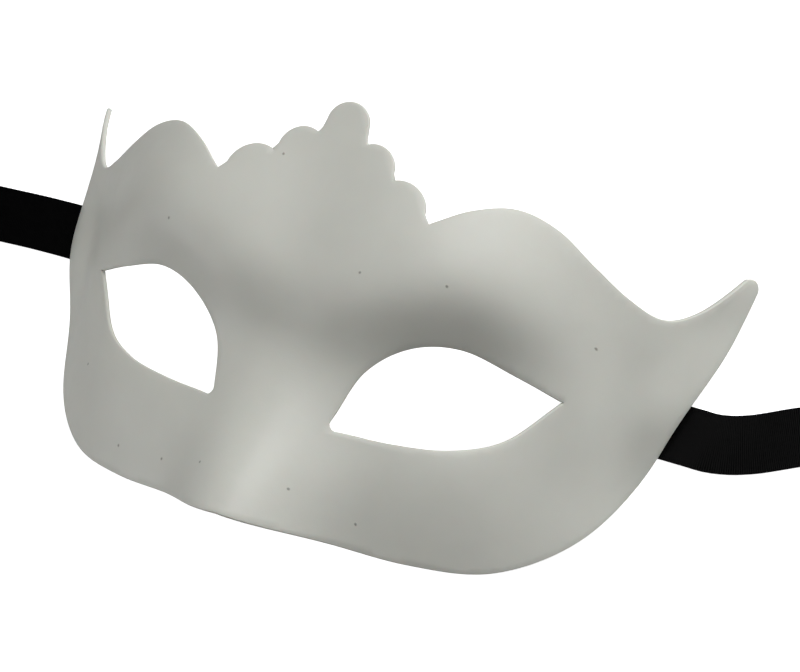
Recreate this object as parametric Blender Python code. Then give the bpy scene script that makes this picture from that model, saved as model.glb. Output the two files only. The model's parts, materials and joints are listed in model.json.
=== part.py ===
"""Venetian half mask: a thin moulded shell with a scalloped crown and two horns, and two satin ribbons.

The mask lies on its back on a table, face up, and left and right are as someone looking at it sees
them: +X points right, +Y to the crown and +Z up.  The face is drawn in its own frame (x across, y up
the face, z out of it), with lengths in millimetres, then tilted onto the table and turned into metres.
"""
import math

import bmesh
import bpy
from mathutils import Vector
from mathutils.geometry import delaunay_2d_cdt

MM = 0.001

# ---- driving dimensions, in millimetres ----
WALL = 1.2                      # thickness of the moulded shell
GRID = 4.0                      # spacing of the shell's facets
EDGE_STEP = 2.6                 # spacing of points along the rim and the eye holes
TABLE_GAP = 0.3                 # clearance between solids that touch on the real mask
RIM_CUT = 0.3                  # depth of the flat where the rim rests on the table

# the sheet bends around the face: heading angle = BEND * s - BEND_EASE * s^3, s measured round the face
BEND = 0.0136
BEND_EASE = 0.39e-6
REST_TILT = math.radians(17.9)  # how far the chin side drops when the mask lies on its back

# relief, each a smooth swell (height, centre across, centre up, half-width across, half-width up)
SWELLS = {
    "brow": (14.0, 31.0, 10.0, 26.0, 32.0),
    "temple": (2.0, 80.0, 19.0, 25.0, 10.0),
    "temple_shoulder": (4.5, 80.0, 35.0, 26.0, 11.0),
    "eye_socket": (-5.0, 29.0, 0.0, 23.0, 11.0),
    "brow_ledge": (-6.5, 34.0, 1.0, 13.0, 14.0),
    "eye_corner": (2.0, 64.0, -1.0, 9.0, 15.0),
    "cheek": (2.5, 52.0, -30.0, 33.0, 17.0),
    "bridge": (1.5, 8.0, 9.0, 12.0, 10.0),
    "nose_side": (-4.0, 22.0, -13.0, 14.0, 13.0),
}
CENTRE_BLEND = 6.0              # how softly the two halves' swells meet at the centre
NOSE_HEIGHT = 21.0              # of the ridge, if the nose ran to its full length
NOSE_WIDTH = 13.5
NOSE_TOP = 1.5                  # where the nose starts to rise, going down
NOSE_RUN = 54.0                 # how far down it takes to reach its full height
BOW = 0.0005                    # backward bow of the crown and the lower rim
ARCH_HEIGHT = 7.0               # the rim's shallow arch over each ribbon
ARCH = (90.0, 3.0, 14.0, 14.0)  # its centre across and up, and half-widths

# outline of the right half, drawn on the unrolled sheet: (across, up)
LOBE = (0.0, 45.5, 4.5)         # centre and radius of the crown's top lobe
VALLEY_A = (5.5, 42.3)
SCALLOP_A = (7.9, 38.0, 4.7)
VALLEY_B = (13.3, 36.7)
SCALLOP_B = (15.7, 31.4, 5.4)
BROW_CURVE = [(22.5, 29.5), (30.0, 34.5), (38.5, 37.0), (47.5, 35.0), (57.0, 29.5), (67.0, 24.5),
              (77.0, 22.0), (86.0, 25.5), (96.0, 34.7)]
HORN_TIP = (97.8, 32.8, 2.2)    # centre and radius of the horn's round tip
SIDE_CURVE = [(99.8, 32.0), (97.0, 18.0), (92.5, 3.0), (83.5, -13.5), (71.0, -28.0), (54.0, -38.0),
              (36.0, -40.5), (18.0, -40.0), (0.0, -38.5)]
EYE_UPPER = [(58.5, 0.5), (47.0, 3.5), (35.0, 6.0), (25.0, 3.5), (17.0, -4.0), (13.2, -15.0)]
EYE_INNER_CORNER = (15.0, -15.5, 2.0)
EYE_LOWER = [(15.5, -17.4), (26.0, -17.0), (38.0, -15.0), (49.0, -10.0), (58.5, 0.5)]

# ribbons
RIBBON_WIDTH = 13.2
RIBBON_THICK = 0.4
RIBBON_Z = 0.3                  # height of a flat ribbon's middle above the table
TAB_START = 68.5                # where the glued end starts, measured round the face
TAB_END = 78.5
TAB_STEPS = 8
GLUE_SIZE = (3.8, 4.8)          # half-lengths of the glue pad
GLUE_CENTRE = 73.5
GLUE_THICK = 0.8
RIBBON_Y = {"left": 15.4, "right": 8.9}       # where each ribbon crosses the rim
HINGE_OUT = 2.2                 # hinge line, outside the rim
ROUTE = {                       # from the hinge: (outwards, towards the crown)
    "left": [(0.0, 0.0), (8.0, -0.2), (16.0, -0.6), (24.0, -1.0), (34.0, -1.5), (46.0, -2.1), (58.0, -2.7),
             (70.0, -3.2)],
    "right": [(0.0, 0.0), (4.0, 0.0), (8.0, 0.7), (13.0, 2.4), (18.0, 4.8), (24.0, 7.6), (34.0, 10.8),
              (46.0, 12.4), (58.0, 12.6), (70.0, 12.0)],
}
TWIST_FROM = 30.0               # the ribbon turns onto its edge between these lengths
TWIST_TO = 66.0
COIL_OUTER = 25.0
COIL_INNER = 11.0
COIL_SIDES = 40
COIL_CLEAR = 8.1                # from the end of the free stretch to beside the coil's middle
SHEET_NORMAL_STEP = 0.05


# ---- the sheet's shape ----

def swell(s, y, height, across, up, half_across, half_up):
    """A smooth bump of the given height."""
    return height * math.exp(-((s - across) / half_across) ** 2 - ((y - up) / half_up) ** 2)


def ease(t):
    """A smooth step from 0 to 1."""
    t = min(max(t, 0.0), 1.0)
    return t * t * (3.0 - 2.0 * t)


def bent(s, steps=24):
    """Point and heading after going a distance s round the bent sheet."""
    x = z = 0.0
    for i in range(steps):
        mid = (i + 0.5) * s / steps
        heading = BEND * mid - BEND_EASE * mid ** 3
        x += math.cos(heading) * s / steps
        z -= math.sin(heading) * s / steps
    return x, z, BEND * s - BEND_EASE * s ** 3


def relief(s, y):
    """How far the surface stands off the bent sheet."""
    blend = math.hypot(s, CENTRE_BLEND)
    height = sum(swell(blend, y, *values) for values in SWELLS.values())
    height += NOSE_HEIGHT * math.exp(-(s / NOSE_WIDTH) ** 2) * ease((NOSE_TOP - y) / NOSE_RUN)
    return height - BOW * y * y


def face_point(s, y):
    """Front surface in the face's own frame; s is negative on the left half."""
    x, z, heading = bent(abs(s))
    height = relief(abs(s), y)
    x += height * math.sin(heading)
    z += height * math.cos(heading) + swell(abs(s), y, ARCH_HEIGHT, *ARCH)
    return Vector((math.copysign(x, s), y, z))


def face_normal(s, y):
    """Outward unit normal of the front surface."""
    step = SHEET_NORMAL_STEP
    across = face_point(s + step, y) - face_point(s - step, y)
    up = face_point(s, y + step) - face_point(s, y - step)
    return across.cross(up).normalized()


def on_table(point):
    """Tilt a point or a direction of the face's frame onto the table."""
    c, k = math.cos(REST_TILT), math.sin(REST_TILT)
    return Vector((point.x, point.y * c - point.z * k, point.y * k + point.z * c))


# ---- curves on the unrolled sheet ----

def smooth_curve(points, step):
    """A Catmull-Rom curve through the points, sampled about every step."""
    points = [Vector(p) for p in points]
    padded = [2 * points[0] - points[1]] + points + [2 * points[-1] - points[-2]]
    out = []
    for a, b, c, d in zip(padded, padded[1:], padded[2:], padded[3:]):
        count = max(1, round((c - b).length / step))
        for i in range(count):
            t = i / count
            out.append(0.5 * (2 * b + (c - a) * t + (2 * a - 5 * b + 4 * c - d) * t ** 2
                              + (3 * b - a - 3 * c + d) * t ** 3))
    return out + [points[-1]]


def arc(centre_x, centre_y, radius, start, end, count):
    """Points along an arc, angles in degrees."""
    angles = [math.radians(start + (end - start) * i / (count - 1)) for i in range(count)]
    return [Vector((centre_x + radius * math.cos(a), centre_y + radius * math.sin(a))) for a in angles]


def half_outline(step):
    """Rim of the right half from the crown's centre down to the nose's centre."""
    rim = arc(*LOBE, 90, 0, 6)
    rim += [Vector(VALLEY_A)] + arc(*SCALLOP_A, 118, 0, 6)
    rim += [Vector(VALLEY_B)] + arc(*SCALLOP_B, 122, 0, 6)
    rim += smooth_curve(BROW_CURVE, step)
    rim += arc(*HORN_TIP, 95, -5, 5)
    rim += smooth_curve(SIDE_CURVE, step)
    return rim


def eye_outline(step):
    """Right eye hole, anticlockwise from its outer corner."""
    hole = smooth_curve(EYE_UPPER, step)
    hole += arc(*EYE_INNER_CORNER, 190, 260, 3)
    return hole + smooth_curve(EYE_LOWER, step)[:-1]


def inside(point, polygon):
    """True where the point is inside the polygon."""
    hit = False
    for a, b in zip(polygon, polygon[1:] + polygon[:1]):
        if (a.y > point.y) != (b.y > point.y):
            if point.x < a.x + (point.y - a.y) / (b.y - a.y) * (b.x - a.x):
                hit = not hit
    return hit


def sheet_triangles():
    """Triangles of the right half of the unrolled sheet, between the rim, the eye and the centre line."""
    rim = half_outline(EDGE_STEP)
    eye = eye_outline(EDGE_STEP)
    centre = [Vector((0.0, rim[-1].y + (rim[0].y - rim[-1].y) * i / 22)) for i in range(1, 22)]
    border = rim + centre
    points = border + eye
    edges = [(i, (i + 1) % len(border)) for i in range(len(border))]
    first = len(border)
    edges += [(first + i, first + (i + 1) % len(eye)) for i in range(len(eye))]
    rows = int(100 / (GRID * 0.866))
    for row in range(rows):
        y = -42.0 + row * GRID * 0.866
        for column in range(28):
            spot = Vector(((column + 0.5 * (row % 2)) * GRID, y))
            clear = min((spot - p).length for p in border + eye) > 0.62 * GRID
            if clear and inside(spot, border) and not inside(spot, eye):
                points.append(spot)
    verts, _, faces, _, _, _ = delaunay_2d_cdt(points, edges, [], 0, 1e-5)
    kept = []
    for face in faces:
        middle = sum((verts[i] for i in face), Vector((0.0, 0.0))) / len(face)
        if inside(middle, border) and not inside(middle, eye):
            kept.append(tuple(face))
    return verts, kept


# ---- Blender objects ----

def material(name, colour, roughness, metallic=0.0):
    """A plain Principled material."""
    mat = bpy.data.materials.new(name)
    mat.use_nodes = True
    shader = mat.node_tree.nodes["Principled BSDF"]
    shader.inputs["Base Color"].default_value = (*colour, 1.0)
    shader.inputs["Roughness"].default_value = roughness
    shader.inputs["Metallic"].default_value = metallic
    return mat


def add_object(name, bm, mat, smooth=True):
    """Turn a bmesh in metres into a named object."""
    bmesh.ops.recalc_face_normals(bm, faces=bm.faces)
    mesh = bpy.data.meshes.new(name)
    bm.to_mesh(mesh)
    bm.free()
    mesh.materials.append(mat)
    if smooth:
        mesh.shade_smooth()
        mesh.set_sharp_from_angle(angle=math.radians(40))
    obj = bpy.data.objects.new(name, mesh)
    bpy.context.scene.collection.objects.link(obj)
    return obj


def shell_mesh():
    """The shell as front and back sheets joined along the rim and the eye holes, in millimetres."""
    flat, triangles = sheet_triangles()
    bm = bmesh.new()
    layers = {}
    for side in (1, -1):
        for index, spot in enumerate(flat):
            if abs(spot.x) < 1e-6 and side == -1:
                layers[side, index] = layers[1, index]
                continue
            front = face_point(side * spot.x, spot.y)
            normal = face_normal(side * spot.x, spot.y)
            layers[side, index] = (bm.verts.new(on_table(front)),
                                   bm.verts.new(on_table(front - WALL * normal)))
    for side in (1, -1):
        for face in triangles:
            ring = face if side == 1 else face[::-1]
            bm.faces.new([layers[side, i][0] for i in ring])
            bm.faces.new([layers[side, i][1] for i in reversed(ring)])
    back_of = {front: back for front, back in layers.values()}
    border = [e for e in bm.edges if e.is_boundary and e.verts[0] in back_of]
    for edge in border:
        a, b = edge.verts
        bm.faces.new((a, b, back_of[b], back_of[a]))
    bmesh.ops.recalc_face_normals(bm, faces=bm.faces)
    return bm


def rest_on_table(bm):
    """Offset that puts the shell's box centre at x = y = 0 and its rest flats at z = 0."""
    lows = [min(v.co[axis] for v in bm.verts) for axis in range(3)]
    highs = [max(v.co[axis] for v in bm.verts) for axis in range(3)]
    return Vector((0.0, -(lows[1] + highs[1]) / 2, -(lows[2] + RIM_CUT)))


def make_shell(bm, offset, mat):
    """Trim the rim flat where it rests on the table."""
    bmesh.ops.translate(bm, verts=bm.verts, vec=offset)
    geometry = bm.verts[:] + bm.edges[:] + bm.faces[:]
    cut = bmesh.ops.bisect_plane(bm, geom=geometry, plane_co=(0, 0, 0), plane_no=(0, 0, 1),
                                 clear_inner=True, dist=1e-5)
    edges = [e for e in cut["geom_cut"] if isinstance(e, bmesh.types.BMEdge)]
    bmesh.ops.holes_fill(bm, edges=edges, sides=0)
    bmesh.ops.triangulate(bm, faces=[f for f in bm.faces if len(f.verts) > 4])
    bmesh.ops.scale(bm, verts=bm.verts, vec=(MM, MM, MM))
    return add_object("mask_shell", bm, mat)


def table_point(s, y, depth, offset):
    """A point under the front surface, on the table frame, in millimetres."""
    return on_table(face_point(s, y) - depth * face_normal(s, y)) + offset


def up_face_at(s, table_y, offset):
    """The height up the face where the line at s crosses the given table y."""
    y = 0.0
    for _ in range(8):
        y += (table_y - table_point(s, y, 0.0, offset).y) / math.cos(REST_TILT)
    return y


def make_glue_pad(name, side, table_y, offset, mat):
    """A flattened dab of glue between the shell and the ribbon's end."""
    bm = bmesh.new()
    top_depth = WALL + TABLE_GAP
    centre_s = GLUE_CENTRE
    centre_y = up_face_at(centre_s, table_y, offset)
    rings = []
    for scale, depth in ((0.86, top_depth), (1.0, top_depth + 0.25), (1.0, top_depth + 0.55),
                         (0.86, top_depth + GLUE_THICK)):
        ring = []
        for i in range(20):
            angle = 2 * math.pi * i / 20
            s = centre_s + scale * GLUE_SIZE[0] * math.cos(angle)
            y = centre_y + scale * GLUE_SIZE[1] * math.sin(angle)
            ring.append(bm.verts.new(table_point(side * s, y, depth, offset)))
        rings.append(ring)
    for low, high in zip(rings, rings[1:]):
        for i in range(20):
            j = (i + 1) % 20
            bm.faces.new((low[i], low[j], high[j], high[i]))
    for ring, depth in ((rings[0], top_depth), (rings[-1], top_depth + GLUE_THICK)):
        middle = bm.verts.new(table_point(side * centre_s, centre_y, depth, offset))
        for i in range(20):
            bm.faces.new((ring[i], ring[(i + 1) % 20], middle))
    bmesh.ops.scale(bm, verts=bm.verts, vec=(MM, MM, MM))
    return add_object(name, bm, mat)


def make_strip(name, path, widthwise, mat):
    """A flat ribbon swept along a path, with its width along the given directions."""
    bm = bmesh.new()
    rings = []
    for i, point in enumerate(path):
        along = (path[min(i + 1, len(path) - 1)] - path[max(i - 1, 0)]).normalized()
        wide = widthwise[i] - along * widthwise[i].dot(along)
        wide = wide.normalized() * RIBBON_WIDTH / 2
        thick = along.cross(wide).normalized() * RIBBON_THICK / 2
        corners = (point + wide + thick, point - wide + thick, point - wide - thick, point + wide - thick)
        rings.append([bm.verts.new(corner * MM) for corner in corners])
    for a, b in zip(rings, rings[1:]):
        for i in range(4):
            j = (i + 1) % 4
            bm.faces.new((a[i], a[j], b[j], b[i]))
    bm.faces.new(rings[0])
    bm.faces.new(rings[-1][::-1])
    bmesh.ops.triangulate(bm, faces=bm.faces)
    return add_object(name, bm, mat, smooth=False)


def rim_x(table_y, shell):
    """How far out the shell reaches near the table, across the ribbon's width."""
    half = RIBBON_WIDTH / 2
    return max(abs(v.co.x) / MM for v in shell.data.vertices
               if abs(v.co.y / MM - table_y) < half + 1.0 and v.co.z / MM < 6.0)


def tab_path(side, table_y, rim, offset):
    """The ribbon's glued end: down the inside of the shell, then out under the rim."""
    depth = WALL + GLUE_THICK + 3 * TABLE_GAP + RIBBON_THICK / 2
    path, wide = [], []
    for i in range(TAB_STEPS):
        s = TAB_START + (TAB_END - TAB_START) * i / (TAB_STEPS - 1)
        y = up_face_at(s, table_y, offset)
        path.append(table_point(side * s, y, depth, offset))
        normal = on_table(face_normal(side * s, y))
        level = Vector((0, 1, 0)) - normal * normal.y
        wide.append(level.lerp(Vector((0, 1, 0)), ease(i / (TAB_STEPS - 1)) * 0.5))
    end = rim + HINGE_OUT - TABLE_GAP
    last = path[-1]
    reach = end - abs(last.x)
    for share, height in ((0.1, 0.6), (0.2, 0.24), (0.31, 0.04), (0.45, 0.0), (0.75, 0.0), (1.0, 0.0)):
        path.append(Vector((side * (abs(last.x) + share * reach), table_y,
                            RIBBON_Z + height * (last.z - RIBBON_Z))))
        wide.append(Vector((0, 1, 0)))
    return path, wide


def free_path(side, start, route):
    """The free ribbon: flat on the table, then turned onto its edge, with its width directions."""
    flat = smooth_curve(route, 3.2)
    path, wide = [], []
    run = 0.0
    for i, spot in enumerate(flat):
        if i:
            run += (spot - flat[i - 1]).length
        along = (flat[min(i + 1, len(flat) - 1)] - flat[max(i - 1, 0)]).normalized()
        turn = math.pi / 2 * ease((run - TWIST_FROM) / (TWIST_TO - TWIST_FROM))
        across = Vector((-side * along.y, along.x, 0.0))
        wide.append(across * math.cos(turn) + Vector((0, 0, 1)) * math.sin(turn))
        lift = (RIBBON_WIDTH / 2) * math.sin(turn)
        path.append(Vector((side * (start + spot.x), spot.y, RIBBON_Z + lift)))
    return path, wide


def make_coil(name, centre, mat):
    """The outer shape of the wound-up rest of the ribbon: a turned ring."""
    bm = bmesh.new()
    low = RIBBON_Z - RIBBON_THICK / 2
    high = low + RIBBON_WIDTH + RIBBON_THICK
    profile = ((COIL_INNER, low), (COIL_OUTER, low), (COIL_OUTER, high), (COIL_INNER, high))
    rings = []
    for i in range(COIL_SIDES):
        angle = 2 * math.pi * i / COIL_SIDES
        spoke = Vector((math.cos(angle), math.sin(angle), 0.0))
        rings.append([bm.verts.new((centre + spoke * radius + Vector((0, 0, z))) * MM)
                      for radius, z in profile])
    for i in range(COIL_SIDES):
        a, b = rings[i], rings[(i + 1) % COIL_SIDES]
        for j in range(4):
            bm.faces.new((a[j], b[j], b[(j + 1) % 4], a[(j + 1) % 4]))
    return add_object(name, bm, mat)


def make_ribbon(word, side, shell, offset, satin, glue):
    """One ribbon with its glue pad: glued tab, free stretch and coil."""
    table_y = RIBBON_Y[word]
    rim = rim_x(table_y, shell)
    make_glue_pad("glue_pad_" + word, side, table_y, offset, glue)
    path, wide = tab_path(side, table_y, rim, offset)
    make_strip("ribbon_tab_" + word, path, wide, satin)
    route = [(x, table_y + y) for x, y in ROUTE[word]]
    path, wide = free_path(side, rim + HINGE_OUT, route)
    make_strip("ribbon_" + word, path, wide, satin)
    along = (path[-1] - path[-2]).normalized()
    outward = Vector((-along.y, along.x, 0.0)) * side
    centre = path[-1] + along * COIL_CLEAR + outward * (COIL_OUTER - RIBBON_THICK)
    centre.z = 0.0
    make_coil("ribbon_coil_" + word, centre, satin)
    print("ribbon", word, "rim", round(rim, 2), "hinge", round(side * (rim + HINGE_OUT), 2), table_y,
          "coil", tuple(round(v, 2) for v in centre))


def main():
    for obj in list(bpy.data.objects):
        bpy.data.objects.remove(obj, do_unlink=True)
    white = material("white_plastic", (0.56, 0.56, 0.52), 0.45)
    satin = material("black_satin", (0.006, 0.006, 0.007), 0.4)
    glue = material("clear_glue", (0.72, 0.70, 0.62), 0.3)
    bm = shell_mesh()
    offset = rest_on_table(bm)
    shell = make_shell(bm, offset, white)
    print("offset", tuple(round(v, 3) for v in offset))
    for word, side in (("left", -1), ("right", 1)):
        make_ribbon(word, side, shell, offset, satin, glue)


main()
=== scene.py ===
"""Looks of the venetian half mask: satin white moulded shell and black satin ribbons on a pale table.

The face is drawn in its own frame (x across, y up the face, z out of it), with lengths in
millimetres, then tilted onto the table and turned into metres, as in the CAD.
"""
import math

import bmesh
import bpy
import numpy as np
from mathutils import Matrix, Vector
from mathutils.geometry import delaunay_2d_cdt
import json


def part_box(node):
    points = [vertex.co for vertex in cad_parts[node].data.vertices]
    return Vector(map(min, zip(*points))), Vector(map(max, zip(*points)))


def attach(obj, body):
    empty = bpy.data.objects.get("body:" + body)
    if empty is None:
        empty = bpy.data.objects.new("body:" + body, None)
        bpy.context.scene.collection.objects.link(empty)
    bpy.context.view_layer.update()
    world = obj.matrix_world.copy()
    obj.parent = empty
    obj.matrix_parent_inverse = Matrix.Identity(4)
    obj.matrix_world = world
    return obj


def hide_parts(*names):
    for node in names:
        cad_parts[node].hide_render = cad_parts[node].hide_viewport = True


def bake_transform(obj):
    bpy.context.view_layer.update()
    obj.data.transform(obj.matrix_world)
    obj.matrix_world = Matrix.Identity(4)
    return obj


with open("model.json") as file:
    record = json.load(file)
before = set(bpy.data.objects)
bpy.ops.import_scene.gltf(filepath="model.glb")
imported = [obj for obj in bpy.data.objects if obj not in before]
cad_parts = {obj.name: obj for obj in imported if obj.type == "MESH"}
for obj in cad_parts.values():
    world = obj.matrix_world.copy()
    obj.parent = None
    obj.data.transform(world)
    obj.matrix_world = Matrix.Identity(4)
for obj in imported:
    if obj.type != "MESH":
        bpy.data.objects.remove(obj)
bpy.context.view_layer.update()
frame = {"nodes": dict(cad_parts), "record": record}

MM = 0.001

# ---- the moulded shell, in millimetres ----
WALL = 1.2
GRID = 1.25                     # spacing of the shell's points
EDGE_STEP = 0.8                 # spacing of points along the rim and the eye holes
RIM_ROUND = 0.55                # how far the rim bulges, as a share of half the wall
RIM_ARC = 6                     # faces round the rim, from front to back
BEND = 0.0136
BEND_EASE = 0.39e-6
REST_TILT = math.radians(17.9)
SWELLS = {                      # height, centre across, centre up, half-width across, half-width up
    "brow": (14.0, 31.0, 10.0, 26.0, 32.0),
    "temple": (2.0, 80.0, 19.0, 25.0, 10.0),
    "temple_shoulder": (4.5, 80.0, 35.0, 26.0, 11.0),
    "eye_socket": (-5.0, 29.0, 0.0, 23.0, 11.0),
    "brow_ledge": (-6.5, 34.0, 1.0, 13.0, 14.0),
    "eye_corner": (2.0, 64.0, -1.0, 9.0, 15.0),
    "cheek": (2.5, 52.0, -30.0, 33.0, 17.0),
    "bridge": (1.5, 8.0, 9.0, 12.0, 10.0),
    "nose_side": (-4.0, 22.0, -13.0, 14.0, 13.0),
}
CENTRE_BLEND = 6.0
NOSE_HEIGHT = 21.0
NOSE_WIDTH = 13.5
NOSE_TOP = 1.5
NOSE_RUN = 54.0
BOW = 0.0005
ARCH_HEIGHT = 7.0
ARCH = (90.0, 3.0, 14.0, 14.0)

# outline of the right half, drawn on the unrolled sheet; arcs are (centre across, centre up, radius)
LOBE = (0.0, 45.5, 4.5)
VALLEY_A = (5.5, 42.3)
SCALLOP_A = (7.9, 38.0, 4.7)
VALLEY_B = (13.3, 36.7)
SCALLOP_B = (15.7, 31.4, 5.4)
BROW_CURVE = [(22.5, 29.5), (30.0, 34.5), (38.5, 37.0), (47.5, 35.0), (57.0, 29.5), (67.0, 24.5),
              (77.0, 22.0), (86.0, 25.5), (96.0, 34.7)]
HORN_TIP = (97.8, 32.8, 2.2)
SIDE_CURVE = [(99.8, 32.0), (97.0, 18.0), (92.5, 3.0), (83.5, -13.5), (71.0, -28.0), (54.0, -38.0),
              (36.0, -40.5), (18.0, -40.0), (0.0, -38.5)]
EYE_UPPER = [(58.5, 0.5), (47.0, 3.5), (35.0, 6.0), (25.0, 3.5), (17.0, -4.0), (13.2, -15.0)]
EYE_INNER_CORNER = (15.0, -15.5, 2.0)
EYE_LOWER = [(15.5, -17.4), (26.0, -17.0), (38.0, -15.0), (49.0, -10.0), (58.5, 0.5)]

# ---- ribbons, in millimetres ----
RIBBON_WIDTH = 13.2
RIBBON_THICK = 0.3
RIBBON_STEP = 1.5               # spacing of the mesh rings along the ribbon
RIBBON_ACROSS = 11              # points across its width
RIBBON_Z = 0.3
TAB_START = 68.5
TAB_END = 78.5
TAB_STEPS = 8
GLUE_THICK = 0.8
TABLE_GAP = 0.3
RIBBON_Y = {"left": 15.4, "right": 8.9}
HINGE_OUT = 2.2
ROUTE = {
    "left": [(0.0, 0.0), (8.0, -0.2), (16.0, -0.6), (24.0, -1.0), (34.0, -1.5), (46.0, -2.1), (58.0, -2.7),
             (70.0, -3.2)],
    "right": [(0.0, 0.0), (4.0, 0.0), (8.0, 0.7), (13.0, 2.4), (18.0, 4.8), (24.0, 7.6), (34.0, 10.8),
              (46.0, 12.4), (58.0, 12.6), (70.0, 12.0)],
}
TWIST_FROM = 30.0
TWIST_TO = 66.0
COIL_OUTER = 25.0
COIL_RUN_IN = 8.1               # straight run from the free strip's end to the coil
COIL_PITCH = 4.6
COIL_TURNS = 2.7
COIL_POINTS = 26                # points on each turn
COIL_INSET = 0.4                # from the CAD ring's outside to the ribbon's middle

# ---- camera: direction and place relative to the face's own frame ----
VIEW_YAW = math.radians(20.32)
VIEW_PITCH = math.radians(3.32)
VIEW_ROLL = math.radians(14.71)
VIEW_DISTANCE = 631.3
VIEW_SLIDE = (-22.33, 0.53)     # how far the mask sits off the view's middle
LENS = 135.0
SENSOR = 36.0

# ---- looks ----
PLASTIC_COLOUR = (0.66, 0.668, 0.612)
RIB_PITCH = 0.00042             # of the ribbon's cross ribs, in metres
THREAD_PITCH = 0.00023
FLOOR_GLOW = 0.9
SKY = 0.02
LIGHT_DISTANCE = 1.2            # metres
LIGHTS = [                      # name, direction in the face's frame, size in metres, watts
    ("top", (0.32, 0.69, 0.65), 0.9, 11.2),
    ("key", (0.45, 0.85, 0.15), 0.9, 3.6),
    ("side", (0.85, 0.45, 0.0), 0.9, 1.2),
    ("fill", (-0.80, -0.50, 0.35), 0.9, 6.6),
]


# ---- the sheet's shape, on arrays ----

def bent(s, steps=40):
    """Points and headings after going the distances s round the bent sheet."""
    middles = (np.arange(steps) + 0.5) / steps * s[..., None]
    heading = BEND * middles - BEND_EASE * middles ** 3
    x = np.cos(heading).mean(-1) * s
    z = -np.sin(heading).mean(-1) * s
    return x, z, BEND * s - BEND_EASE * s ** 3


def swell(s, y, height, across, up, half_across, half_up):
    """A smooth bump of the given height."""
    return height * np.exp(-((s - across) / half_across) ** 2 - ((y - up) / half_up) ** 2)


def ease(t):
    """A smooth step from 0 to 1."""
    t = np.clip(t, 0.0, 1.0)
    return t * t * (3.0 - 2.0 * t)


def relief(s, y):
    """How far the surface stands off the bent sheet."""
    blend = np.hypot(s, CENTRE_BLEND)
    height = sum(swell(blend, y, *values) for values in SWELLS.values())
    height = height + NOSE_HEIGHT * np.exp(-(s / NOSE_WIDTH) ** 2) * ease((NOSE_TOP - y) / NOSE_RUN)
    return height - BOW * y * y


def face_points(s, y):
    """Front surface in the face's own frame; s is negative on the left half."""
    side = np.where(s < 0, -1.0, 1.0)
    s = np.abs(s)
    x, z, heading = bent(s)
    height = relief(s, y)
    x = x + height * np.sin(heading)
    z = z + height * np.cos(heading) + swell(s, y, ARCH_HEIGHT, *ARCH)
    return np.stack([side * x, y, z], -1)


def face_normals(s, y, step=0.05):
    """Outward unit normals of the front surface."""
    across = face_points(s + step, y) - face_points(s - step, y)
    up = face_points(s, y + step) - face_points(s, y - step)
    normal = np.cross(across, up)
    return normal / np.linalg.norm(normal, axis=-1, keepdims=True)


def on_table(points):
    """Tilt points or directions of the face's frame onto the table."""
    c, k = math.cos(REST_TILT), math.sin(REST_TILT)
    points = np.asarray(points, float)
    x, y, z = points[..., 0], points[..., 1], points[..., 2]
    return np.stack([x, y * c - z * k, y * k + z * c], -1)


# ---- curves on the unrolled sheet ----

def smooth_curve(points, step):
    """A Catmull-Rom curve through the points, sampled about every step."""
    points = [Vector(p) for p in points]
    padded = [2 * points[0] - points[1]] + points + [2 * points[-1] - points[-2]]
    out = []
    for a, b, c, d in zip(padded, padded[1:], padded[2:], padded[3:]):
        count = max(1, round((c - b).length / step))
        for i in range(count):
            t = i / count
            out.append(0.5 * (2 * b + (c - a) * t + (2 * a - 5 * b + 4 * c - d) * t ** 2
                              + (3 * b - a - 3 * c + d) * t ** 3))
    return out + [points[-1]]


def arc(centre_x, centre_y, radius, start, end, step):
    """Points along an arc, angles in degrees."""
    count = max(3, round(abs(math.radians(end - start)) * radius / step))
    angles = [math.radians(start + (end - start) * i / count) for i in range(count + 1)]
    return [Vector((centre_x + radius * math.cos(a), centre_y + radius * math.sin(a))) for a in angles]


def half_outline(step):
    """Rim of the right half from the crown's centre down to the nose's centre."""
    rim = arc(*LOBE, 90, 0, step)
    rim += smooth_curve([rim[-1], Vector((4.9, 43.4)), Vector(VALLEY_A)], step)[1:]
    rim += arc(*SCALLOP_A, 118, 0, step)
    rim += [Vector(VALLEY_B)] + arc(*SCALLOP_B, 122, 0, step)
    rim += smooth_curve(BROW_CURVE, step)
    rim += arc(*HORN_TIP, 95, -5, step)
    rim += smooth_curve(SIDE_CURVE, step)
    return rim


def eye_outline(step):
    """Right eye hole, anticlockwise from its outer corner."""
    hole = smooth_curve(EYE_UPPER, step)
    hole += arc(*EYE_INNER_CORNER, 190, 260, step)
    return hole + smooth_curve(EYE_LOWER, step)[:-1]


def inside(points, polygon):
    """Which points are inside the polygon."""
    hit = np.zeros(len(points), bool)
    for a, b in zip(polygon, np.roll(polygon, -1, axis=0)):
        crosses = (a[1] > points[:, 1]) != (b[1] > points[:, 1])
        with np.errstate(divide="ignore", invalid="ignore"):
            reach = a[0] + (points[:, 1] - a[1]) / (b[1] - a[1]) * (b[0] - a[0])
        hit ^= crosses & (points[:, 0] < reach)
    return hit


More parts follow.
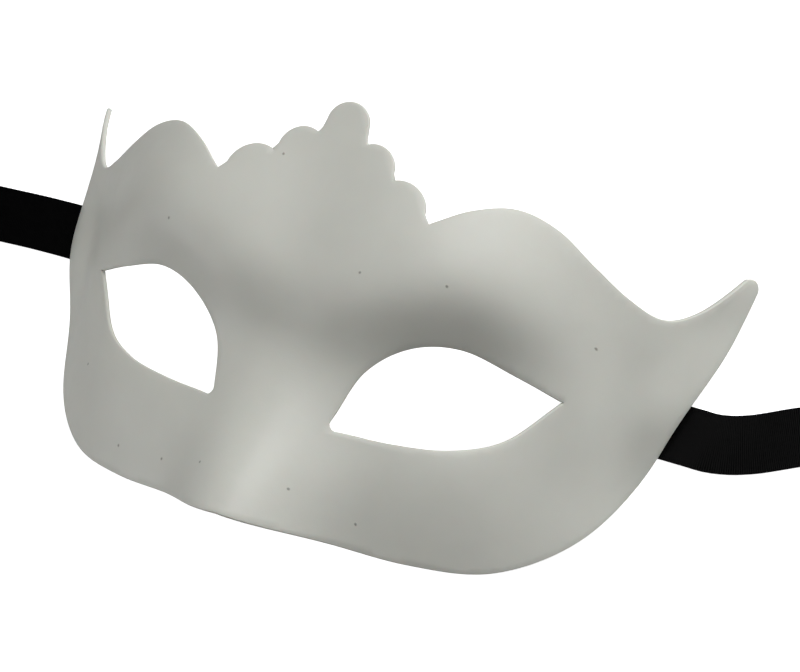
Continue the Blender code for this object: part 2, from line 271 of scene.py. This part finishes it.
def sheet_triangles():
    """Points, triangles and closed borders of the right half of the unrolled sheet."""
    rim = half_outline(EDGE_STEP)
    eye = eye_outline(EDGE_STEP)
    rise = rim[0].y - rim[-1].y
    count = round(rise / EDGE_STEP)
    centre = [Vector((0.0, rim[-1].y + rise * i / count)) for i in range(1, count)]
    border = np.array([tuple(p) for p in rim + centre])
    hole = np.array([tuple(p) for p in eye])
    rows = np.arange(-42.0, 52.0, GRID * 0.866)
    spots = [(column * GRID + (row % 2) * GRID / 2, y)
             for row, y in enumerate(rows) for column in range(int(103 / GRID))]
    spots = np.array(spots)
    spots = spots[inside(spots, border) & ~inside(spots, hole)]
    walls = np.vstack([border, hole])
    near = np.array([np.min(np.hypot(*(walls - spot).T)) for spot in spots])
    spots = spots[near > 0.6 * GRID]
    points = [Vector(p) for p in np.vstack([border, hole, spots])]
    first = len(border)
    edges = [(i, (i + 1) % first) for i in range(first)]
    edges += [(first + i, first + (i + 1) % len(hole)) for i in range(len(hole))]
    verts, _, faces, _, _, _ = delaunay_2d_cdt(points, edges, [], 0, 1e-5)
    flat = np.array([tuple(v) for v in verts])
    faces = np.array([tuple(f) for f in faces])
    middles = flat[faces].mean(1)
    faces = faces[inside(middles, border) & ~inside(middles, hole)]
    return flat, faces


# ---- objects ----

def add_object(name, bm, material, smooth=True):
    """Turn a bmesh in metres into a named object."""
    bmesh.ops.recalc_face_normals(bm, faces=bm.faces)
    mesh = bpy.data.meshes.new(name)
    bm.to_mesh(mesh)
    bm.free()
    mesh.materials.append(material)
    if smooth:
        mesh.shade_smooth()
    obj = bpy.data.objects.new(name, mesh)
    bpy.context.scene.collection.objects.link(obj)
    return obj


def shell_bmesh():
    """Front and back sheets joined by a rounded rim, tilted onto the table, in millimetres."""
    flat, triangles = sheet_triangles()
    full = np.vstack([flat, flat * (-1, 1)])
    front = face_points(full[:, 0], full[:, 1])
    normal = face_normals(full[:, 0], full[:, 1])
    back = front - WALL * normal
    front, back, normal = on_table(front), on_table(back), on_table(normal)
    half = len(flat)
    same = np.arange(2 * half)
    middle = np.where(np.abs(flat[:, 0]) < 1e-6)[0]
    same[half + middle] = middle
    bm = bmesh.new()
    front_verts, back_verts = {}, {}
    for i in np.unique(same[np.unique(np.concatenate([triangles.ravel(), triangles.ravel() + half]))]):
        front_verts[i] = bm.verts.new(front[i])
        back_verts[i] = bm.verts.new(back[i])
    for side in (0, 1):
        for face in triangles:
            ring = [same[i + side * half] for i in (face if side == 0 else face[::-1])]
            bm.faces.new([front_verts[i] for i in ring])
            bm.faces.new([back_verts[i] for i in reversed(ring)])
    back_of = {front_verts[i]: (back_verts[i], Vector(normal[i])) for i in front_verts}
    border = [e for e in bm.edges if e.is_boundary and e.verts[0] in back_of]
    outward = {}
    for edge in border:
        a, b = edge.verts
        loop = edge.link_loops[0]
        along = (loop.link_loop_next.vert.co - loop.vert.co).normalized()
        for vert in (a, b):
            push = along.cross(back_of[vert][1])
            outward[vert] = outward.get(vert, Vector()) + push
    arcs = {}
    for vert, push in outward.items():
        back_vert, _ = back_of[vert]
        centre = (vert.co + back_vert.co) / 2
        rise = (vert.co - back_vert.co) / 2
        push = push.normalized() * WALL / 2 * RIM_ROUND
        ring = [vert]
        for i in range(1, RIM_ARC):
            angle = math.pi * i / RIM_ARC
            ring.append(bm.verts.new(centre + rise * math.cos(angle) + push * math.sin(angle)))
        arcs[vert] = ring + [back_vert]
    for edge in border:
        a, b = edge.verts
        for i in range(RIM_ARC):
            bm.faces.new((arcs[a][i], arcs[b][i], arcs[b][i + 1], arcs[a][i + 1]))
    return bm


def make_shell(material):
    """The fine shell, put where the CAD shell is and trimmed flat where it rests."""
    bm = shell_bmesh()
    low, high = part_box("mask_shell")
    ys = [v.co.y for v in bm.verts]
    zs = [v.co.z for v in bm.verts]
    offset = Vector((0, (low[1] + high[1]) / 2 / MM - (min(ys) + max(ys)) / 2, high[2] / MM - max(zs)))
    bmesh.ops.translate(bm, verts=bm.verts, vec=offset)
    cut = bmesh.ops.bisect_plane(bm, geom=bm.verts[:] + bm.edges[:] + bm.faces[:], plane_co=(0, 0, 0),
                                 plane_no=(0, 0, 1), clear_inner=True, dist=1e-5)
    edges = [e for e in cut["geom_cut"] if isinstance(e, bmesh.types.BMEdge)]
    if edges:
        bmesh.ops.holes_fill(bm, edges=edges, sides=0)
    bmesh.ops.scale(bm, verts=bm.verts, vec=(MM, MM, MM))
    shell = add_object("shell", bm, material)
    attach(shell, "mask")
    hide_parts("mask_shell")
    return offset


# ---- ribbons ----

def table_point(s, y, depth, offset):
    """A point under the front surface, on the table frame, in millimetres."""
    point = face_points(np.array(s), np.array(y)) - depth * face_normals(np.array(s), np.array(y))
    return Vector(on_table(point)) + offset


def up_face_at(s, table_y, offset):
    """The height up the face where the line at s crosses the given table y."""
    y = 0.0
    for _ in range(8):
        y += (table_y - table_point(s, y, 0.0, offset).y) / math.cos(REST_TILT)
    return y


def tab_path(side, table_y, hinge, offset):
    """The ribbon's glued end: down the inside of the shell, then out under the rim."""
    depth = WALL + GLUE_THICK + 3 * TABLE_GAP + RIBBON_THICK / 2
    path, wide = [], []
    for i in range(TAB_STEPS):
        s = TAB_START + (TAB_END - TAB_START) * i / (TAB_STEPS - 1)
        y = up_face_at(s, table_y, offset)
        path.append(table_point(side * s, y, depth, offset))
        normal = Vector(on_table(face_normals(np.array(side * s), np.array(y))))
        level = Vector((0, 1, 0)) - normal * normal.y
        wide.append(level.lerp(Vector((0, 1, 0)), float(ease(i / (TAB_STEPS - 1))) * 0.5))
    last = path[-1]
    reach = hinge - TABLE_GAP - abs(last.x)
    for share, height in ((0.1, 0.6), (0.2, 0.24), (0.31, 0.04), (0.45, 0.0), (0.75, 0.0)):
        path.append(Vector((side * (abs(last.x) + share * reach), table_y,
                            RIBBON_Z + height * (last.z - RIBBON_Z))))
        wide.append(Vector((0, 1, 0)))
    return path, wide


def free_path(side, start, route):
    """The free ribbon: flat on the table, then turned onto its edge, with its width directions."""
    flat = smooth_curve(route, 3.2)
    path, wide = [], []
    run = 0.0
    for i, spot in enumerate(flat):
        if i:
            run += (spot - flat[i - 1]).length
        along = (flat[min(i + 1, len(flat) - 1)] - flat[max(i - 1, 0)]).normalized()
        turn = math.pi / 2 * float(ease((run - TWIST_FROM) / (TWIST_TO - TWIST_FROM)))
        across = Vector((-side * along.y, along.x, 0.0))
        wide.append(across * math.cos(turn) + Vector((0, 0, 1)) * math.sin(turn))
        path.append(Vector((side * (start + spot.x), spot.y,
                            RIBBON_Z + RIBBON_WIDTH / 2 * math.sin(turn))))
    return path, wide


def coil_path(side, path):
    """The rolled-up rest of the ribbon, standing on its edge in a loose spiral."""
    along = (path[-1] - path[-2]).normalized()
    outward = Vector((-along.y, along.x, 0.0)) * side
    start = path[-1] + along * COIL_RUN_IN
    radius = COIL_OUTER - COIL_INSET
    centre = start + outward * radius
    out = [path[-1] + along * COIL_RUN_IN / 2]
    steps = round(COIL_TURNS * COIL_POINTS)
    for i in range(steps + 1):
        angle = 2 * math.pi * COIL_TURNS * i / steps
        r = radius - COIL_PITCH * angle / (2 * math.pi)
        out.append(centre + r * (along * math.sin(angle) - outward * math.cos(angle)))
    return out, [Vector((0, 0, 1))] * len(out)


def resample(path, wide, step):
    """The path and its width directions on an even spacing."""
    points = smooth_curve(path, step / 3)
    lengths = [0.0]
    for a, b in zip(points, points[1:]):
        lengths.append(lengths[-1] + (b - a).length)
    knots = [0.0]
    for a, b in zip(path, path[1:]):
        knots.append(knots[-1] + (b - a).length)
    total = lengths[-1]
    count = round(total / step)
    at = np.linspace(0, total, count + 1)
    even = np.stack([np.interp(at, lengths, [p[k] for p in points]) for k in range(3)], -1)
    knots = np.array(knots) * total / knots[-1]
    turned = np.stack([np.interp(at, knots, [w[k] for w in wide]) for k in range(3)], -1)
    return even, turned, total


def make_ribbon(word, side, offset, material):
    """One whole ribbon, from its glued end to its bare end in the coil."""
    table_y = RIBBON_Y[word]
    joint = next(j for j in frame["record"]["behaviour"]["joints"] if j["child"] == "ribbon_" + word)
    hinge = abs(joint["pos_m"][0]) / MM
    path, wide = tab_path(side, table_y, hinge, offset)
    more, turns = free_path(side, hinge, [(x, table_y + y) for x, y in ROUTE[word]])
    path, wide = path + more, wide + turns
    more, turns = coil_path(side, path)
    path, wide = path + more, wide + turns
    even, turned, total = resample(path, wide, RIBBON_STEP)
    along = np.gradient(even, axis=0)
    along /= np.linalg.norm(along, axis=1, keepdims=True)
    turned -= along * (turned * along).sum(1, keepdims=True)
    turned /= np.linalg.norm(turned, axis=1, keepdims=True)
    thick = np.cross(along, turned)
    bm = bmesh.new()
    uv_layer = bm.loops.layers.uv.new("ribbon")
    across = np.linspace(-1, 1, RIBBON_ACROSS)
    rings = []
    for p, w, t in zip(even, turned, thick):
        top = [p + w * u * RIBBON_WIDTH / 2 + t * RIBBON_THICK / 2 for u in across]
        low = [p + w * u * RIBBON_WIDTH / 2 - t * RIBBON_THICK / 2 for u in across[::-1]]
        rings.append([bm.verts.new(Vector(q) * MM) for q in top + low])
    size = len(rings[0])
    place = list(across) + list(across[::-1])
    for row, (a, b) in enumerate(zip(rings, rings[1:])):
        for i in range(size):
            j = (i + 1) % size
            face = bm.faces.new((a[i], a[j], b[j], b[i]))
            spots = ((row, place[i]), (row, place[j]), (row + 1, place[j]), (row + 1, place[i]))
            for loop, (r, u) in zip(face.loops, spots):
                loop[uv_layer].uv = (r * RIBBON_STEP * MM, u * RIBBON_WIDTH / 2 * MM)
    bm.faces.new(rings[0])
    bm.faces.new(rings[-1][::-1])
    ribbon = add_object("satin_ribbon_" + word, bm, material)
    ribbon.data.set_sharp_from_angle(angle=math.radians(50))
    nodes = ["ribbon_tab_" + word, "ribbon_" + word, "ribbon_coil_" + word]
    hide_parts(*nodes)
    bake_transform(ribbon)


# ---- materials ----

def principled(name, colour, roughness, **sockets):
    """A Principled material, its node tree and its shader; underscores in the sockets stand for spaces."""
    mat = bpy.data.materials.new(name)
    mat.use_nodes = True
    shader = mat.node_tree.nodes["Principled BSDF"]
    shader.inputs["Base Color"].default_value = (*colour, 1.0)
    shader.inputs["Roughness"].default_value = roughness
    for key, value in sockets.items():
        shader.inputs[key.replace("_", " ")].default_value = value
    return mat, mat.node_tree, shader


def node(tree, kind, inputs=None, **settings):
    """A shader node with its settings, and its inputs set or linked by name or number."""
    made = tree.nodes.new(kind)
    for key, value in settings.items():
        setattr(made, key, value)
    for key, value in (inputs or {}).items():
        if isinstance(value, bpy.types.NodeSocket):
            tree.links.new(value, made.inputs[key])
        else:
            made.inputs[key].default_value = value
    return made


def ramp(tree, value, stops):
    """A colour ramp over the value, with stops of (place, grey or colour)."""
    made = node(tree, "ShaderNodeValToRGB", {"Fac": value})
    elements = made.color_ramp.elements
    while len(elements) < len(stops):
        elements.new(0.5)
    for element, (place, colour) in zip(elements, stops):
        element.position = place
        element.color = (*colour, 1.0) if isinstance(colour, tuple) else (colour, colour, colour, 1.0)
    return made.outputs["Color"]


def noise(tree, vector, scale, detail=2.0, roughness=0.5):
    """Noise at the given scale, per metre."""
    made = node(tree, "ShaderNodeTexNoise", {"Vector": vector, "Scale": scale, "Detail": detail,
                                             "Roughness": roughness})
    return made.outputs["Fac"]


def math_node(tree, operation, a, b=0.0, clamp=False):
    made = node(tree, "ShaderNodeMath", {0: a, 1: b}, operation=operation, use_clamp=clamp)
    return made.outputs["Value"]


def mix_colour(tree, factor, a, b, blend="MIX"):
    made = node(tree, "ShaderNodeMix", data_type="RGBA", blend_type=blend)
    for key, value in ((0, factor), (6, a), (7, b)):
        if isinstance(value, bpy.types.NodeSocket):
            tree.links.new(value, made.inputs[key])
        else:
            made.inputs[key].default_value = value if key == 0 else (*value, 1.0)
    return made.outputs[2]


def bump(tree, height, strength, distance, normal=None):
    inputs = {"Height": height, "Strength": strength, "Distance": distance}
    if normal is not None:
        inputs["Normal"] = normal
    return node(tree, "ShaderNodeBump", inputs).outputs["Normal"]


def white_plastic():
    """Satin off-white moulded plastic: faint mottling, fine grain, and a few dark specks and pits."""
    mat, tree, shader = principled("white_plastic", PLASTIC_COLOUR, 0.46, Specular_IOR_Level=0.42,
                                   Subsurface_Weight=0.06, Subsurface_Scale=0.002)
    where = node(tree, "ShaderNodeTexCoord").outputs["Object"]
    mottle = noise(tree, where, 38.0, 4.0, 0.55)
    cast = ramp(tree, mottle, [(0.30, tuple(0.955 * c for c in PLASTIC_COLOUR)),
                               (0.72, tuple(min(1.0, 1.03 * c) for c in PLASTIC_COLOUR))])
    # specks: the cores of a few far-apart cells
    cells = node(tree, "ShaderNodeTexVoronoi", {"Vector": where, "Scale": 62.0, "Randomness": 1.0},
                 voronoi_dimensions="2D")
    picked = ramp(tree, cells.outputs["Color"], [(0.66, 0.0), (0.68, 1.0)])
    core = ramp(tree, cells.outputs["Distance"], [(0.010, 1.0), (0.022, 0.0)])
    speck = math_node(tree, "MULTIPLY", picked, core)
    shade = mix_colour(tree, math_node(tree, "MULTIPLY", speck, 0.6), cast, (0.14, 0.13, 0.11))
    tree.links.new(shade, shader.inputs["Base Color"])
    grain = noise(tree, where, 2600.0, 2.0, 0.6)
    streak = node(tree, "ShaderNodeMapping", {"Vector": where, "Scale": (90.0, 420.0, 420.0)})
    scuffs = noise(tree, streak.outputs["Vector"], 1.0, 3.0, 0.6)
    gloss = math_node(tree, "MULTIPLY_ADD", scuffs, 0.16)
    gloss.node.inputs[2].default_value = 0.38
    tree.links.new(gloss, shader.inputs["Roughness"])
    waves = noise(tree, where, 170.0, 2.0, 0.5)
    normal = bump(tree, waves, 0.16, 0.0004)
    normal = bump(tree, grain, 0.22, 0.00004, normal)
    normal = bump(tree, speck, 0.5, 0.0002, normal)
    tree.links.new(normal, shader.inputs["Normal"])
    return mat


def black_satin():
    """Black satin ribbon: lengthwise floats, fine cross ribs, a woven selvedge and a soft sheen."""
    mat, tree, shader = principled("black_satin", (0.0006, 0.0006, 0.0007), 0.36, Anisotropic=0.4,
                                   Sheen_Weight=0.008, Sheen_Roughness=0.35, Specular_IOR_Level=0.06)
    shader.inputs["Sheen Tint"].default_value = (0.6, 0.6, 0.62, 1.0)
    shader.inputs["Anisotropic Rotation"].default_value = 0.25
    uv = node(tree, "ShaderNodeUVMap", uv_map="ribbon").outputs["UV"]
    split = node(tree, "ShaderNodeSeparateXYZ", {0: uv})
    along, across = split.outputs["X"], split.outputs["Y"]
    ribs = math_node(tree, "SINE", math_node(tree, "MULTIPLY", along, 2 * math.pi / RIB_PITCH))
    threads = math_node(tree, "SINE", math_node(tree, "MULTIPLY", across, 2 * math.pi / THREAD_PITCH))
    edge = math_node(tree, "DIVIDE", math_node(tree, "ABSOLUTE", across), RIBBON_WIDTH * MM / 2)
    selvedge = ramp(tree, edge, [(0.90, 0.0), (0.94, 1.0)])
    slub = node(tree, "ShaderNodeMapping", {"Vector": uv, "Scale": (160.0, 2600.0, 1.0)})
    slubs = noise(tree, slub.outputs["Vector"], 1.0, 3.0, 0.6)
    weave = math_node(tree, "ADD", math_node(tree, "MULTIPLY", ribs, 0.5),
                      math_node(tree, "MULTIPLY", threads, 0.35))
    height = math_node(tree, "ADD", weave, math_node(tree, "MULTIPLY", slubs, 0.8))
    height = math_node(tree, "ADD", height, math_node(tree, "MULTIPLY", selvedge, 1.2))
    normal = bump(tree, height, 0.55, 0.00006)
    tree.links.new(normal, shader.inputs["Normal"])
    tint = ramp(tree, slubs, [(0.3, (0.0004, 0.0004, 0.0005)), (0.75, (0.0010, 0.0010, 0.0011))])
    tint = mix_colour(tree, selvedge, tint, (0.0004, 0.0004, 0.0005))
    tree.links.new(tint, shader.inputs["Base Color"])
    gloss = ramp(tree, slubs, [(0.25, 0.28), (0.8, 0.42)])
    tree.links.new(gloss, shader.inputs["Roughness"])
    return mat


def clear_glue():
    """Clouded hot-melt glue with small bubbles."""
    mat, tree, shader = principled("clear_glue", (0.78, 0.74, 0.62), 0.22, Transmission_Weight=0.35,
                                   Subsurface_Weight=0.3, Subsurface_Scale=0.003, IOR=1.48)
    where = node(tree, "ShaderNodeTexCoord").outputs["Object"]
    cloud = noise(tree, where, 420.0, 3.0, 0.6)
    tree.links.new(ramp(tree, cloud, [(0.3, (0.66, 0.62, 0.50)), (0.7, (0.84, 0.81, 0.71))]),
                   shader.inputs["Base Color"])
    bubbles = node(tree, "ShaderNodeTexVoronoi", {"Vector": where, "Scale": 1500.0}).outputs["Distance"]
    normal = bump(tree, noise(tree, where, 260.0, 2.0), 0.5, 0.0003)
    tree.links.new(bump(tree, bubbles, 0.2, 0.0001, normal), shader.inputs["Normal"])
    return mat


# ---- stage ----

def make_camera(offset):
    """The camera, set from the face's own frame, and carried onto the table with it."""
    cy, sy = math.cos(VIEW_YAW), math.sin(VIEW_YAW)
    cp, sp = math.cos(VIEW_PITCH), math.sin(VIEW_PITCH)
    toward = Vector((sy * cp, sp, cy * cp))
    level = Vector((cy, 0, -sy))
    upward = toward.cross(level)
    right = math.cos(VIEW_ROLL) * level + math.sin(VIEW_ROLL) * upward
    top = -math.sin(VIEW_ROLL) * level + math.cos(VIEW_ROLL) * upward
    place = toward * VIEW_DISTANCE - right * VIEW_SLIDE[0] - top * VIEW_SLIDE[1]
    axes = [Vector(on_table(tuple(a))) for a in (right, top, toward)]
    spot = (Vector(on_table(tuple(place))) + offset) * MM
    data = bpy.data.cameras.new("camera")
    data.lens = LENS
    data.sensor_width = SENSOR
    data.clip_start = 0.01
    data.clip_end = 20.0
    camera = bpy.data.objects.new("camera", data)
    matrix = Matrix((axes[0], axes[1], axes[2])).transposed().to_4x4()
    matrix.translation = spot
    camera.matrix_world = matrix
    bpy.context.scene.collection.objects.link(camera)
    bpy.context.scene.camera = camera


def make_floor():
    """A plain white table, which glows to the camera alone and so stays an even white."""
    bm = bmesh.new()
    bmesh.ops.create_grid(bm, x_segments=1, y_segments=1, size=2.5)
    mat, tree, shader = principled("floor", (0.80, 0.80, 0.80), 0.9, Specular_IOR_Level=0.1)
    ray = node(tree, "ShaderNodeLightPath").outputs["Is Camera Ray"]
    shader.inputs["Emission Color"].default_value = (1.0, 1.0, 1.0, 1.0)
    tree.links.new(math_node(tree, "MULTIPLY", ray, FLOOR_GLOW), shader.inputs["Emission Strength"])
    floor = add_object("floor", bm, mat, smooth=False)


def area_light(name, direction, size, power):
    """A square area light, from a direction in the face's own frame."""
    data = bpy.data.lights.new(name, "AREA")
    data.shape = "SQUARE"
    data.size = size
    data.energy = power
    light = bpy.data.objects.new(name, data)
    toward = Vector(on_table(direction)).normalized()
    light.location = toward * LIGHT_DISTANCE
    light.rotation_euler = toward.to_track_quat("Z", "Y").to_euler()
    bpy.context.scene.collection.objects.link(light)


def make_lights():
    """Soft lights mostly from the crown's side, a fill from the far cheek's side, and a faint even sky."""
    world = bpy.data.worlds.new("studio")
    bpy.context.scene.world = world
    world.use_nodes = True
    world.node_tree.nodes["Background"].inputs["Color"].default_value = (1, 1, 1, 1)
    world.node_tree.nodes["Background"].inputs["Strength"].default_value = SKY
    for name, direction, size, power in LIGHTS:
        area_light(name, direction, size, power)
    bpy.context.scene.view_settings.view_transform = "Standard"


def main():
    plastic = white_plastic()
    satin = black_satin()
    glue = clear_glue()
    offset = make_shell(plastic)
    make_camera(offset)
    for word, side in (("left", -1), ("right", 1)):
        make_ribbon(word, side, offset, satin)
    for word in ("left", "right"):
        frame["nodes"]["glue_pad_" + word].data.materials.clear()
        frame["nodes"]["glue_pad_" + word].data.materials.append(glue)
    make_floor()
    make_lights()


main()
